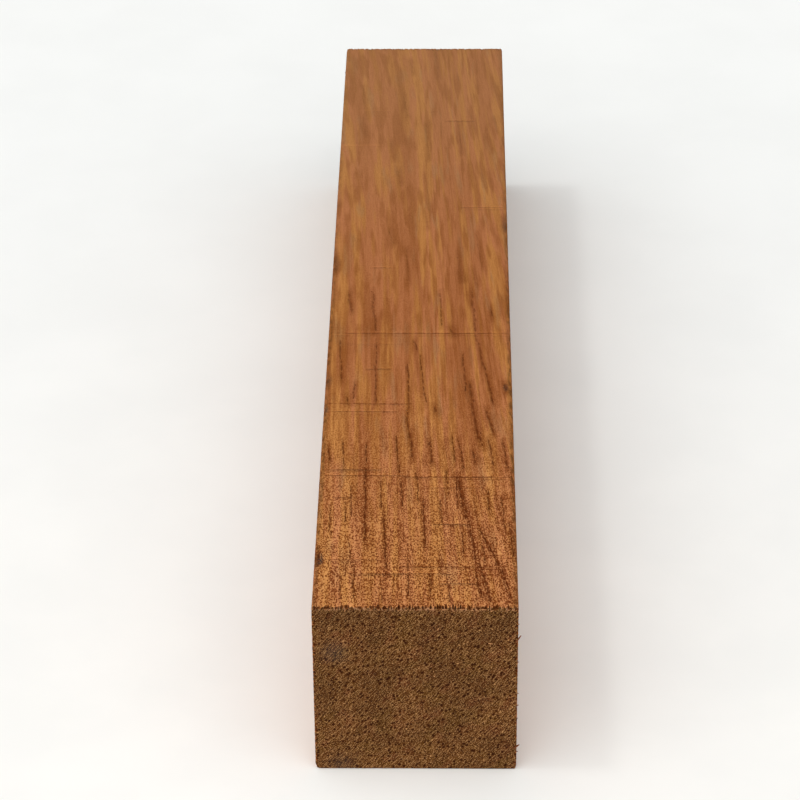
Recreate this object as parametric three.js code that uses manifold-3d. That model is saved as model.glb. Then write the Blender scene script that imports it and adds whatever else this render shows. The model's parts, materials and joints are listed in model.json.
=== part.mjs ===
// Sipo pen blank: a square stick of sawn sipo, the wood that the barrel of a pen is turned from.
// It is one solid piece. Millimetres, Z up, the grain along Y. It lies on a long face, with the
// origin in the middle of that face, and the near sawn end faces -Y.

import * as THREE from "three";
import { mergeVertices } from "three/addons/utils/BufferGeometryUtils.js";
import Module from "manifold-3d";

const wasm = await Module();
wasm.setup();

// Driving dimensions of the stick.
const WIDTH = 20;
const HEIGHT = 20;
const LENGTH = 120;

// The long arrises are only eased by handling. The near-left foot has rubbed rounder than the rest.
const ARRIS_TOP = 0.22;
const ARRIS_FOOT_RIGHT = 0.3;
const ARRIS_FOOT_LEFT = 0.5;
const ARRIS_STEPS = 3;
const END_EASE = 0.08;

// A pit's middle plane stands this share of its depth above the surface, clear of the face's own plane.
const PIT_LIFT = 0.1;

// Each long face: quarter turns about the grain from the top face, and its distance from the middle.
const FACES = {
  top: { quarter: 0, reach: HEIGHT / 2, span: WIDTH },
  right: { quarter: 1, reach: WIDTH / 2, span: HEIGHT },
  under: { quarter: 2, reach: HEIGHT / 2, span: WIDTH },
  left: { quarter: 3, reach: WIDTH / 2, span: HEIGHT },
};

// Saw marks run across the top face. at: from the near end. from, to: from the left arris, and past
// an arris where the mark is deepest on that arris. deep: how far the teeth went in.
const SAW_MARK_WIDTH = 0.3;
const TOP_SAW_MARKS = [
  { at: 4.7, from: 11, to: 17, deep: 0.04 },
  { at: 5.4, from: 7, to: 14, deep: 0.05 },
  { at: 6.4, from: 8, to: 28, deep: 0.12 },
  { at: 7.7, from: -3, to: 7.5, deep: 0.07 },
  { at: 13.6, from: 11, to: 15, deep: 0.04 },
  { at: 18.2, from: 1, to: 5, deep: 0.04 },
  { at: 20.8, from: -4, to: 6, deep: 0.05 },
  { at: 21.9, from: 8, to: 29, deep: 0.1 },
  { at: 34.2, from: -2, to: 9, deep: 0.05 },
  { at: 35.7, from: -3, to: 9.5, deep: 0.09 },
  { at: 48.1, from: -2, to: 12, deep: 0.05 },
  { at: 49.8, from: -6, to: 31, deep: 0.1 },
  { at: 78.1, from: 13, to: 25, deep: 0.08 },
  { at: 93.6, from: -5, to: 7, deep: 0.08 },
  { at: 102.7, from: 1, to: 8, deep: 0.05 },
];

// The other three faces came off the same saw: this many marks each, spread evenly and then moved
// a little, each reaching this far to both sides of its middle.
const HIDDEN_SAW_MARKS = 9;
const HIDDEN_SAW_WANDER = [-3, 3];
const HIDDEN_SAW_REACH = [3, 13];
const HIDDEN_SAW_DEPTH = [0.04, 0.1];

// Open vessel lines of the top face, the dark scratches of the grain. x: from the left arris.
// y: from the near end. Each runs from its near point to its far one.
const VESSEL_WIDTH = 0.24;
const VESSEL_DEPTH = 0.09;
const TOP_VESSELS = [
  { near: [4.9, 11.5], far: [4.7, 23.4] },
  { near: [7.2, 5.2], far: [6.8, 14.9] },
  { near: [4.1, 1.8], far: [3.9, 6.3] },
  { near: [15.2, 14.6], far: [14.5, 21.2] },
  { near: [15.9, 8.3], far: [15.35, 13.6] },
  { near: [17.4, 16.2], far: [17.2, 19.1] },
  { near: [18.2, 7.2], far: [17.2, 13.0] },
  { near: [19.1, 1.6], far: [18.3, 5.9] },
  { near: [10.9, 10.2], far: [10.7, 17.2] },
  { near: [11.6, 2.2], far: [11.5, 5.1] },
  { near: [16.0, 24.6], far: [15.8, 26.4] },
  { near: [9.0, 31.0], far: [8.8, 34.0] },
  { near: [16.3, 29.0], far: [15.5, 39.5] },
  { near: [18.0, 30.0], far: [17.2, 34.0] },
  { near: [5.5, 36.6], far: [5.3, 47.4] },
  { near: [18.0, 36.0], far: [17.1, 43.0] },
  { near: [17.0, 43.6], far: [16.2, 49.3] },
  { near: [16.2, 50.6], far: [15.8, 58.2] },
  { near: [5.2, 50.8], far: [4.7, 58.4] },
  { near: [9.8, 46.4], far: [9.5, 47.8] },
  { near: [14.7, 61.6], far: [14.3, 67.0] },
  { near: [17.0, 64.4], far: [16.4, 71.4] },
  { near: [8.7, 61.4], far: [8.4, 68.0] },
  { near: [10.8, 90.5], far: [10.4, 98.0] },
  { near: [14.8, 91.8], far: [14.4, 98.6] },
  { near: [8.1, 101.4], far: [7.6, 106.0] },
];

// The other long faces have like lines at random: how many on each, how far inside the face's
// edges, how long, and how far they lean for each millimetre of length.
const HIDDEN_VESSELS = 22;
const HIDDEN_VESSEL_MARGIN = 2;
const HIDDEN_VESSEL_LENGTH = [3, 11];
const HIDDEN_VESSEL_LEAN = [-0.035, 0];

// The saw broke the near top arris into small teeth, about one every two vessels.
const TOOTH_PITCH = 0.44;
const TOOTH_WANDER = [-0.1, 0.1];
const TOOTH_WIDTH = [0.14, 0.26];
const TOOTH_BACK = [0.3, 0.75];
const TOOTH_DOWN = [0.16, 0.34];

// The blade left the wood at the near right arris and tore it: shallow bites, one each pitch.
const BITE_PITCH = 0.62;
const BITE_WANDER = [-0.15, 0.15];
const BITE_SIZE = [0.3, 0.5];

// Chips on the long arrises. side: -1 left, 1 right. at: from the near end. up: top or foot arris.
const CHIPS = [
  { side: -1, up: true, at: 7.8, long: 2.2, size: 0.55 },
  { side: -1, up: true, at: 34.8, long: 1.6, size: 0.45 },
  { side: -1, up: true, at: 65.0, long: 2.6, size: 0.5 },
  { side: 1, up: true, at: 38.8, long: 1.5, size: 0.5 },
  { side: 1, up: true, at: 74.0, long: 2.0, size: 0.4 },
  { side: -1, up: false, at: 51.0, long: 3.0, size: 0.5 },
  { side: 1, up: false, at: 22.0, long: 2.4, size: 0.55 },
  { side: 1, up: false, at: 97.0, long: 3.2, size: 0.45 },
];

// Torn fibres stand out where the blade left the wood: on the right of the near end and, because the
// stick was turned round for the second cut, on the left of the far end. up: above the foot. lean:
// turn about the way out, in radians. The root is set FIBRE_INSET behind the sawn end.
const FIBRE_THICK = 0.16;
const FIBRE_ROOT = 0.5;
const FIBRE_REACH = 0.28;
const FIBRE_INSET = 0.35;
const FIBRES = [
  { up: 16.4, lean: 0.9 },
  { up: 9.6, lean: 0.3 },
  { up: 6.1, lean: -0.5 },
  { up: 2.9, lean: 0.6 },
];

const RANDOM_SEED = 20120;

const SIPO = new THREE.MeshStandardMaterial({ color: 0xa3683a, roughness: 0.78, metalness: 0 });

// One seeded generator makes every random draw, so the solid is the same on each run. It steps
// through the whole numbers below RANDOM_SPAN by a fixed factor and addend.
const RANDOM_SPAN = 2 ** 32;
const RANDOM_FACTOR = 1664525;
const RANDOM_ADDEND = 1013904223;

function seededDraws(seed) {
  let state = seed;
  return ([low, high]) => {
    state = (state * RANDOM_FACTOR + RANDOM_ADDEND) % RANDOM_SPAN;
    return low + ((high - low) * state) / RANDOM_SPAN;
  };
}

function solidOf(geometry) {
  geometry.deleteAttribute("normal");
  geometry.deleteAttribute("uv");
  const merged = mergeVertices(geometry);
  return new wasm.Manifold(
    new wasm.Mesh({
      numProp: 3,
      vertProperties: merged.attributes.position.array,
      triVerts: Uint32Array.from(merged.index.array),
    }),
  );
}

// The section of the stick in X and Z, on its foot, with each corner eased by its own radius.
function sectionShape() {
  const half = WIDTH / 2;
  const quarter = Math.PI / 2;
  const shape = new THREE.Shape();
  shape.moveTo(-half + ARRIS_FOOT_LEFT, 0);
  shape.absarc(half - ARRIS_FOOT_RIGHT, ARRIS_FOOT_RIGHT, ARRIS_FOOT_RIGHT, -quarter, 0);
  shape.absarc(half - ARRIS_TOP, HEIGHT - ARRIS_TOP, ARRIS_TOP, 0, quarter);
  shape.absarc(-half + ARRIS_TOP, HEIGHT - ARRIS_TOP, ARRIS_TOP, quarter, 2 * quarter);
  shape.absarc(-half + ARRIS_FOOT_LEFT, ARRIS_FOOT_LEFT, ARRIS_FOOT_LEFT, 2 * quarter, 3 * quarter);
  return shape;
}

function stick() {
  const geometry = new THREE.ExtrudeGeometry(sectionShape(), {
    depth: LENGTH - 2 * END_EASE,
    curveSegments: ARRIS_STEPS,
    bevelThickness: END_EASE,
    bevelSize: END_EASE,
    bevelOffset: -END_EASE,
    bevelSegments: 1,
  });
  geometry.rotateX(Math.PI / 2);
  geometry.translate(0, LENGTH / 2 - END_EASE, 0);
  return solidOf(geometry);
}

// A shallow pit with a sharp floor, long along Y, its mouth in the plane Z = 0.
function pit(wide, long, deep) {
  const half = deep / (1 - PIT_LIFT);
  const geometry = new THREE.OctahedronGeometry(1);
  geometry.scale(wide / 2, long / 2, half);
  geometry.translate(0, 0, half * PIT_LIFT);
  return geometry;
}

// Moves a pit from its own place to a long face: across and along are from the face's middle.
function onFace(geometry, face, across, along) {
  geometry.translate(across, along, face.reach);
  geometry.rotateY((face.quarter * Math.PI) / 2);
  geometry.translate(0, 0, HEIGHT / 2);
  return geometry;
}

function sawMark(face, mark) {
  const geometry = pit(mark.to - mark.from, SAW_MARK_WIDTH, mark.deep);
  return onFace(geometry, face, (mark.from + mark.to) / 2 - face.span / 2, mark.at - LENGTH / 2);
}

function vesselLine(face, line) {
  const across = line.far[0] - line.near[0];
  const along = line.far[1] - line.near[1];
  const geometry = pit(VESSEL_WIDTH, Math.hypot(across, along), VESSEL_DEPTH);
  geometry.rotateZ(-Math.atan2(across, along));
  const middle = [(line.near[0] + line.far[0]) / 2, (line.near[1] + line.far[1]) / 2];
  return onFace(geometry, face, middle[0] - face.span / 2, middle[1] - LENGTH / 2);
}

function hiddenFaceMarks(face, draw) {
  const margin = HIDDEN_VESSEL_MARGIN;
  const marks = [];
  const sawPitch = LENGTH / HIDDEN_SAW_MARKS;
  for (let i = 0; i < HIDDEN_SAW_MARKS; i += 1) {
    const middle = draw([0, face.span]);
    const reach = draw(HIDDEN_SAW_REACH);
    const at = (i + 0.5) * sawPitch + draw(HIDDEN_SAW_WANDER);
    const deep = draw(HIDDEN_SAW_DEPTH);
    marks.push(sawMark(face, { at, from: middle - reach, to: middle + reach, deep }));
  }
  for (let i = 0; i < HIDDEN_VESSELS; i += 1) {
    const long = draw(HIDDEN_VESSEL_LENGTH);
    const x = draw([margin, face.span - margin]);
    const y = draw([margin, LENGTH - margin - long]);
    const lean = long * draw(HIDDEN_VESSEL_LEAN);
    marks.push(vesselLine(face, { near: [x, y], far: [x + lean, y + long] }));
  }
  return marks;
}

// Small nicks along the near top arris, back over the top face and down the end.
function arrisTeeth(draw) {
  const teeth = [];
  const count = Math.floor((WIDTH - 2 * ARRIS_TOP) / TOOTH_PITCH);
  for (let i = 0; i < count; i += 1) {
    const geometry = new THREE.OctahedronGeometry(1);
    geometry.scale(draw(TOOTH_WIDTH) / 2, draw(TOOTH_BACK), draw(TOOTH_DOWN));
    const x = (i + 0.5 - count / 2) * TOOTH_PITCH + draw(TOOTH_WANDER);
    geometry.translate(x, -LENGTH / 2, HEIGHT);
    teeth.push(geometry);
  }
  return teeth;
}

// Bites out of the arris where the blade left the wood. side: 1 near right, -1 far left.
function arrisBites(side, draw) {
  const bites = [];
  const count = Math.floor(HEIGHT / BITE_PITCH);
  for (let i = 0; i < count; i += 1) {
    const geometry = new THREE.OctahedronGeometry(1);
    geometry.scale(draw(BITE_SIZE) / 2, draw(BITE_SIZE), draw(BITE_SIZE) / 2);
    const z = (i + 0.5) * BITE_PITCH + draw(BITE_WANDER);
    geometry.translate((side * WIDTH) / 2, (-side * LENGTH) / 2, z);
    bites.push(geometry);
  }
  return bites;
}

function arrisChip(chip) {
  const geometry = new THREE.OctahedronGeometry(1);
  geometry.scale(chip.size, chip.long / 2, chip.size);
  geometry.translate((chip.side * WIDTH) / 2, chip.at - LENGTH / 2, chip.up ? HEIGHT : 0);
  return geometry;
}

// A four-sided sliver, rooted in the end by the arris, its tip FIBRE_REACH outside the side face.
function tornFibre(fibre, side) {
  const long = FIBRE_ROOT + FIBRE_REACH;
  const geometry = new THREE.ConeGeometry(FIBRE_THICK, long, 4);
  geometry.translate(0, long / 2 - FIBRE_ROOT, 0);
  geometry.rotateX(fibre.lean);
  geometry.rotateZ((-side * Math.PI) / 2);
  const short = FIBRE_REACH * (1 - Math.cos(fibre.lean));
  geometry.translate(side * (WIDTH / 2 + short), side * (FIBRE_INSET - LENGTH / 2), fibre.up);
  return geometry;
}

function sipoBlank() {
  const draw = seededDraws(RANDOM_SEED);
  const cuts = [
    ...TOP_SAW_MARKS.map((mark) => sawMark(FACES.top, mark)),
    ...TOP_VESSELS.map((line) => vesselLine(FACES.top, line)),
    ...hiddenFaceMarks(FACES.right, draw),
    ...hiddenFaceMarks(FACES.under, draw),
    ...hiddenFaceMarks(FACES.left, draw),
    ...arrisTeeth(draw),
    ...arrisBites(1, draw),
    ...arrisBites(-1, draw),
    ...CHIPS.map(arrisChip),
  ];
  const fibres = [
    ...FIBRES.map((fibre) => tornFibre(fibre, 1)),
    ...FIBRES.map((fibre) => tornFibre(fibre, -1)),
  ];
  let solid = stick();
  for (const cut of cuts) solid = solid.subtract(solidOf(cut));
  for (const fibre of fibres) solid = solid.add(solidOf(fibre));

  const skin = solid.getMesh();
  const geometry = new THREE.BufferGeometry();
  geometry.setAttribute("position", new THREE.BufferAttribute(skin.vertProperties, 3));
  geometry.setIndex(new THREE.BufferAttribute(skin.triVerts, 1));
  const mesh = new THREE.Mesh(geometry, SIPO);
  mesh.name = "sipo_blank";
  return mesh;
}

const blank = new THREE.Group();
blank.add(sipoBlank());

export default blank;
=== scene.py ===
import json
import math
import random

import bmesh
import bpy
from bpy.props import FloatProperty, FloatVectorProperty, IntProperty, PointerProperty
from mathutils import Matrix, Vector, noise

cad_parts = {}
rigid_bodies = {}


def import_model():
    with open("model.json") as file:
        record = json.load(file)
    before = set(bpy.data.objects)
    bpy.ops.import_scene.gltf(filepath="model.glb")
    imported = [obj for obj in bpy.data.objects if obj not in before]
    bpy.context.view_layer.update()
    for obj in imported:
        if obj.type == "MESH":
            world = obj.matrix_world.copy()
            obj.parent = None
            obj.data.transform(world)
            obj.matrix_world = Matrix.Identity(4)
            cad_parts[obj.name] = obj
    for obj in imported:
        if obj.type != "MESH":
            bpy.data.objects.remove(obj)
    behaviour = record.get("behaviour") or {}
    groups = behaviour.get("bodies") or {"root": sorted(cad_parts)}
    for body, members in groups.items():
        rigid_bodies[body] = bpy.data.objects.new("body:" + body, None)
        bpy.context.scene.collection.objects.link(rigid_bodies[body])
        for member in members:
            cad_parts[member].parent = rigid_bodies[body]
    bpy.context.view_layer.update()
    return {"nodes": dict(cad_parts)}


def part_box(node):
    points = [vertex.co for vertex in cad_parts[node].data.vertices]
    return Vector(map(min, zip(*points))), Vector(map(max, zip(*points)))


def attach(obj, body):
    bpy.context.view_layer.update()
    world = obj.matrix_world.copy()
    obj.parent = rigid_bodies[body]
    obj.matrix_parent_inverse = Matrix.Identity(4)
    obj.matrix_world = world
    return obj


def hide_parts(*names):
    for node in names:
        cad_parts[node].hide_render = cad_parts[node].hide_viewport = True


bl_info = {
    "name": "Sipo Pen Blank",
    "version": (1, 0, 0),
    "blender": (4, 5, 0),
    "location": "3D View > Sidebar > Pen Blank",
    "description": "A square stick of sawn sipo wood, with its pores, saw marks and torn fibres",
    "category": "Add Mesh",
}

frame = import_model()

# Sizes are in metres unless a name ends in _MM, and colours are sRGB hex.
MM = 0.001
NODE = "sipo_blank"
BODY = "root"

# The stick's section is square, so its height gives its width, which the torn fibres stand proud of.
LOW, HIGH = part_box(NODE)
SECTION = HIGH.z - LOW.z
LENGTH = HIGH.y - LOW.y
HALF = SECTION / 2
NEAR_END = LOW.y

# The rays run up to the right across the end grain, at this angle from the foot.
RAY_ANGLE = math.radians(52)

# The fibres lean to the left as they go back, in millimetres: by a steady share, by more beyond a
# distance back, and by an amount at the right that is reached slowly.
STEADY_LEAN = 0.02
LATE_LEAN_START_MM = 50.0
LATE_LEAN = 0.0005
RIGHT_LEAN_MM = 8.5
RIGHT_LEAN_SLOWNESS_MM = 80.0

# The photograph's camera, found from the six corners of the stick that it shows.
IMAGE_PIXELS = 800
FOCAL_PIXELS = 3100.9
SENSOR_MM = 36.0
CAMERA_PLACE = Vector((3.3, -299.4, 198.6)) * MM
CAMERA_YAW = math.radians(1.09)
CAMERA_TILT = math.radians(57.11)
CAMERA_ROLL = math.radians(-0.51)


def linear(code):
    """The linear colour, with an alpha of 1, of an sRGB hex code such as "a3683a"."""
    parts = [int(code[i:i + 2], 16) / 255 for i in (0, 2, 4)]
    return [c / 12.92 if c <= 0.04045 else ((c + 0.055) / 1.055) ** 2.4 for c in parts] + [1.0]


def colour_property(name, description, code):
    return FloatVectorProperty(
        name=name, description=description, default=linear(code), size=4,
        subtype="COLOR", min=0.0, max=1.0,
    )


def length_property(name, description, millimetres):
    return FloatProperty(
        name=name, description=description, default=millimetres * MM,
        unit="LENGTH", min=0.0, precision=5,
    )


class StickShape(bpy.types.PropertyGroup):
    top_arris: length_property("Top arris", "Rounding of the two upper long arrises", 0.27)
    foot_right: length_property("Right foot arris", "Rounding of the lower right arris", 0.35)
    foot_left: length_property("Left foot arris", "Rounding of the worn lower left arris", 0.56)
    relief: length_property("Relief", "Depth of the ridges that the saw left along the grain", 0.03)
    across: IntProperty(name="Across", description="Mesh cuts across the top and foot", default=79, min=8)
    upright: IntProperty(name="Upright", description="Mesh cuts up the two sides", default=39, min=8)
    along: IntProperty(name="Along", description="Mesh cuts along the grain", default=171, min=8)


class WoodFinish(bpy.types.PropertyGroup):
    golden: colour_property("Golden", "Golden long grain, between vessels", "be7e42")
    pink: colour_property("Pink", "Rosy long grain", "b87348")
    brown: colour_property("Brown", "Darker ribbons of the long grain", "8e4f22")
    dusty: colour_property("Dusty", "Greyish, dusty patches of the long grain", "a07a54")
    # Also used for painted glints: fibres that catch the light, painted in this colour.
    bright: colour_property("Bright fibre", "Clean-cut fibres that catch the light", "dda66a")
    gum: colour_property("Gum", "Gum in and beside the open vessels", "753b14")
    # Also used as painted shade at the floors of pits, and for the wood's own dark specks.
    vessel: colour_property("Vessel", "Shadow in the open vessels, and dark specks", "5a2405")
    end_base: colour_property("End grain", "Sawn end grain between the rays", "593516")
    end_olive: colour_property("Olive patches", "Olive patches of the end grain", "573912")
    end_red: colour_property("Red patches", "Reddish patches of the end grain", "60341b")
    end_ray: colour_property("Rays", "Light ray lines of the end grain", "987047")
    pore: colour_property("Pores", "Pore mouths in the end grain", "361704")
    fringe: colour_property("Fringe", "Pale fibres along the upper arrises of the ends", "c08a62")
    splinter: colour_property("Splinter", "Clean-split splinters", "c08a58")
    smudge: colour_property("Smudge", "Grey handling marks on the near end and the top", "36342f")
    ray_pitch: length_property("Ray pitch", "Distance from one ray to the next", 0.26)
    pore_pitch: length_property("Pore pitch", "Distance from one pore to the next", 0.6)
    vessel_pitch: length_property("Vessel pitch", "Distance between vessel lines", 0.7)


class StageSettings(bpy.types.PropertyGroup):
    key_height: FloatProperty(
        name="Key height", description="Height of the key light above the floor",
        default=math.radians(63), subtype="ANGLE",
    )
    key_spread: FloatProperty(
        name="Key spread", description="Width of the key light as the stick sees it",
        default=math.radians(7), subtype="ANGLE",
    )
    key_strength: FloatProperty(
        name="Key strength", description="Strength of the key light", default=0.3, min=0.0,
    )
    tent_strength: FloatProperty(
        name="Tent strength", description="Strength of the white light tent", default=0.98, min=0.0,
    )
    tent_lean: FloatVectorProperty(
        name="Tent lean", description="How much brighter the tent is to the right, behind and above",
        default=(-0.3, -0.8, 0.45), size=3,
    )
    tent_base: FloatProperty(
        name="Tent base", description="The tent's light from all sides, as a share of its strength",
        default=0.75, min=0.0,
    )
    # One card: its front is painted whiter and its back greyer, as painted light.
    card: colour_property("Card", "White card that the stick lies on, in front", "f6f5f1")
    card_shaded_behind: colour_property("Card behind", "The same card beyond the stick", "eff0ee")
    pulp: colour_property("Pulp", "Greyer patches of the card", "e4e5e3")


def add(tree, kind, inputs=None, output=0, **settings):
    """Adds a node with its settings, gives its inputs values or links, and returns one output."""
    node = tree.nodes.new(kind)
    for name, value in settings.items():
        setattr(node, name, value)
    for name, value in (inputs or {}).items():
        if isinstance(value, bpy.types.NodeSocket):
            tree.links.new(value, node.inputs[name])
        else:
            node.inputs[name].default_value = value
    return node.outputs[output]


def new_material(name):
    """An empty node material and its tree."""
    material = bpy.data.materials.new(name)
    material.use_nodes = True
    material.node_tree.nodes.clear()
    return material, material.node_tree


def maths(tree, operation, a, b=0.0, c=0.0):
    return add(tree, "ShaderNodeMath", {0: a, 1: b, 2: c}, operation=operation)


def times(tree, a, b):
    return maths(tree, "MULTIPLY", a, b)


def ramp(tree, value, start, end, low=0.0, high=1.0, smooth=True):
    """Maps value from start..end to low..high, held at both ends."""
    kind = "SMOOTHSTEP" if smooth else "LINEAR"
    inputs = {"Value": value, "From Min": start, "From Max": end, "To Min": low, "To Max": high}
    return add(tree, "ShaderNodeMapRange", inputs, interpolation_type=kind, clamp=True)


def faded(tree, strength, value, *limits):
    """A strength, multiplied by a ramp of value."""
    return times(tree, strength, ramp(tree, value, *limits))


def blend(tree, factor, a, b, mode="MIX"):
    inputs = {0: factor, 6: a, 7: b}
    return add(tree, "ShaderNodeMix", inputs, output=2, data_type="RGBA", blend_type=mode)


def grain_coordinates(tree):
    """The wood's own coordinates in millimetres, from Object coordinates.

    The fibres don't run quite straight along Y: they lean to the left as they go back, most at the
    right, so what follows them is drawn in coordinates moved by that lean.
    """
    place = add(tree, "ShaderNodeTexCoord", output="Object")
    place = add(tree, "ShaderNodeVectorMath", {0: place, 1: (1 / MM,) * 3}, operation="MULTIPLY")
    split = add(tree, "ShaderNodeSeparateXYZ", {0: place}).node.outputs
    x, y, z = split[0], split[1], split[2]
    back = maths(tree, "SUBTRACT", y, NEAR_END / MM)

    steady = times(tree, back, STEADY_LEAN)
    late = maths(tree, "MAXIMUM", maths(tree, "SUBTRACT", back, LATE_LEAN_START_MM), 0.0)
    late = times(tree, times(tree, late, late), LATE_LEAN)
    fading = maths(tree, "EXPONENT", maths(tree, "DIVIDE", back, -RIGHT_LEAN_SLOWNESS_MM))
    fading = times(tree, maths(tree, "SUBTRACT", 1.0, fading), RIGHT_LEAN_MM)
    rightwards = ramp(tree, x, -2.0, 10.0)
    lean = maths(tree, "MULTIPLY_ADD", fading, rightwards, maths(tree, "ADD", steady, late))

    along_x = maths(tree, "ADD", x, lean)
    along_z = maths(tree, "MULTIPLY_ADD", lean, -1 / math.tan(RAY_ANGLE), z)
    leaned = add(tree, "ShaderNodeCombineXYZ", {0: along_x, 1: back, 2: along_z})
    return leaned, x, back, z


def uneven_noise(tree, vector, scale, detail):
    return add(tree, "ShaderNodeTexNoise", {"Vector": vector, "Scale": scale, "Detail": detail})


def voronoi_cells(tree, vector, dimensions):
    inputs = {"Vector": vector, "Scale": 1.0, "Randomness": 1.0}
    return add(tree, "ShaderNodeTexVoronoi", inputs, voronoi_dimensions=dimensions)


def shaded(tree, colour, shade):
    shade = add(tree, "ShaderNodeCombineColor", {0: shade, 1: shade, 2: shade})
    return blend(tree, 1.0, colour, shade, "MULTIPLY")


def stretched(tree, vector, across, along):
    """The vector with one unit per cell: cells are across wide in X and Z and along long in Y."""
    scale = (1 / across, 1 / along, 1 / across)
    return add(tree, "ShaderNodeVectorMath", {0: vector, 1: scale}, operation="MULTIPLY")


def streaks(tree, vector, across, along, detail=2.0):
    """Noise drawn out along the grain, from 0 to 1."""
    return uneven_noise(tree, stretched(tree, vector, across, along), 1.0, detail)


# Broad bands of the top face: distance from the left arris in millimetres, counted
# along the leaning grain, and darkness.
BANDS = (
    (0.0, 0.25), (1.5, 0.0), (4.0, 0.0), (5.5, 0.6), (7.2, 0.2), (9.6, 0.6), (11.0, 0.45),
    (12.3, 0.0), (15.0, 0.1), (16.4, 0.7), (18.2, 0.7), (19.6, 0.0), (20.8, 0.8), (22.4, 0.3),
    (24.4, 0.0), (27.4, 0.5), (29.0, 0.1),
)
BANDS_REACH_MM = 30.0

# Dark marks of handling on the top face, in millimetres from the section's middle and the near end:
# across, back, half width, half length, and strength.
HANDLING_MARKS = (
    (-9.4, 7.9, 0.45, 1.4, 0.8), (9.3, 39.2, 0.4, 0.9, 0.7), (-9.6, 65.2, 0.6, 2.0, 0.3),
    (9.7, 74.0, 0.5, 2.4, 0.5), (-9.7, 34.8, 0.4, 0.8, 0.6), (-9.6, 40.5, 0.5, 1.6, 0.35),
)


def tone_bands(tree, leaned):
    """How dark the top face's broad bands are, from 0 to 1."""
    across = add(tree, "ShaderNodeSeparateXYZ", {0: leaned})
    share = maths(tree, "DIVIDE", maths(tree, "ADD", across, HALF / MM), BANDS_REACH_MM)
    tones = add(tree, "ShaderNodeValToRGB", {0: share})
    stops = tones.node.color_ramp.elements
    for place, _ in BANDS[1:-1]:
        stops.new(place / BANDS_REACH_MM)
    for stop, (place, darkness) in zip(stops, BANDS):
        stop.position = place / BANDS_REACH_MM
        stop.color = (darkness, darkness, darkness, 1.0)
    return tones


# Saw marks across the top face, in millimetres from the near end and the left arris: how far back,
# from where, to where, and how wide.
TOP_SAW_MARKS = (
    (6.35, 7.6, 20.0, 0.2), (7.5, 0.2, 7.2, 0.13), (5.2, 3.0, 14.0, 0.11), (21.95, 8.0, 20.0, 0.2),
    (22.2, 0.2, 9.4, 0.11), (23.3, 0.4, 6.6, 0.11), (18.3, 1.4, 3.9, 0.15), (20.0, 10.6, 16.4, 0.11),
    (13.6, 11.6, 15.4, 0.11), (3.6, 12.0, 16.4, 0.09), (35.7, 0.2, 9.6, 0.22), (34.2, 0.6, 8.0, 0.14),
    (49.9, 0.6, 20.0, 0.2), (42.6, 4.0, 7.4, 0.11), (64.1, 4.2, 7.0, 0.16), (78.1, 14.4, 19.8, 0.16),
    (99.8, 12.4, 16.6, 0.2),
)
SAW_MARK_DEPTH_MM = 0.07
FULL_STAIN_WIDTH_MM = 0.2

# Distances back are read from the torn arris, which lies this far in.
TORN_EDGE_MM = 0.35


def saw_stains(tree, x, back):
    """How strongly the saw marks darken the top face at a place, from 0 to 1."""
    place = add(tree, "ShaderNodeCombineXYZ", {0: x, 1: times(tree, back, 0.3)})
    wander = uneven_noise(tree, place, 1.1, 3.0)
    wander = maths(tree, "MULTIPLY_ADD", wander, 0.3, maths(tree, "SUBTRACT", back, 0.15))
    broken = uneven_noise(tree, place, 2.3, 2.0)
    stained = 0.0
    for away, start, end, wide in TOP_SAW_MARKS:
        off = maths(tree, "ABSOLUTE", maths(tree, "SUBTRACT", wander, away + TORN_EDGE_MM))
        along = maths(tree, "ABSOLUTE", maths(tree, "SUBTRACT", x, (start + end) / 2 - HALF / MM))
        inside = ramp(tree, along, (end - start) / 2 - 0.6, (end - start) / 2 + 0.2, 1.0, 0.0)
        darkest = min(wide / FULL_STAIN_WIDTH_MM, 1.0)
        line = ramp(tree, off, wide * 0.3, wide * 1.1, darkest, 0.0)
        stained = maths(tree, "MAXIMUM", times(tree, line, inside), stained)
    stained = faded(tree, stained, back, 25.0, 75.0, 1.0, 0.35)
    return faded(tree, stained, broken, 0.38, 0.6, 0.15, 1.0)


def handling_marks(tree, x, back):
    """How strongly the top face is marked at a place, from 0 to 1."""
    marked = 0.0
    for across, away, half_width, half_length, strength in HANDLING_MARKS:
        place = add(tree, "ShaderNodeCombineXYZ", {
            0: maths(tree, "DIVIDE", maths(tree, "SUBTRACT", x, across), half_width),
            1: maths(tree, "DIVIDE", maths(tree, "SUBTRACT", back, away), half_length),
        })
        spread = add(tree, "ShaderNodeVectorMath", {0: place}, output="Value", operation="LENGTH")
        marked = maths(tree, "MAXIMUM", ramp(tree, spread, 0.2, 1.1, strength, 0.0), marked)
    return marked


def arris_darkening(tree, leaned, x, back, z):
    """How dark the two upper long arrises are at a place, from 0 to 1."""
    uneven = streaks(tree, leaned, 0.3, 1.1, 3.0)
    edge_darkening = ramp(tree, maths(tree, "ABSOLUTE", x), 9.35, 9.75)
    edge_darkening = faded(tree, edge_darkening, z, 19.3, 19.7)
    edge_darkening = faded(tree, edge_darkening, back, 30.0, 80.0, 1.0, 0.5)
    return faded(tree, edge_darkening, uneven, 0.36, 0.6, 0.95, 0.3)


# How strongly each feature colours the long grain, from 0 to 1.
BAND_STRENGTH = 0.38
GUM_STRENGTH = 0.85
GLINT_STRENGTH = 0.38
SPECK_STRENGTH = 0.85
SAW_STAIN_STRENGTH = 0.5
ARRIS_DARKENING_STRENGTH = 0.85

# The bump's depths, in millimetres: a vessel, a speck or a thread of the long grain, and a pore.
FINE_DEPTH_MM = 0.05
PORE_DEPTH_MM = 0.07


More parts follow.
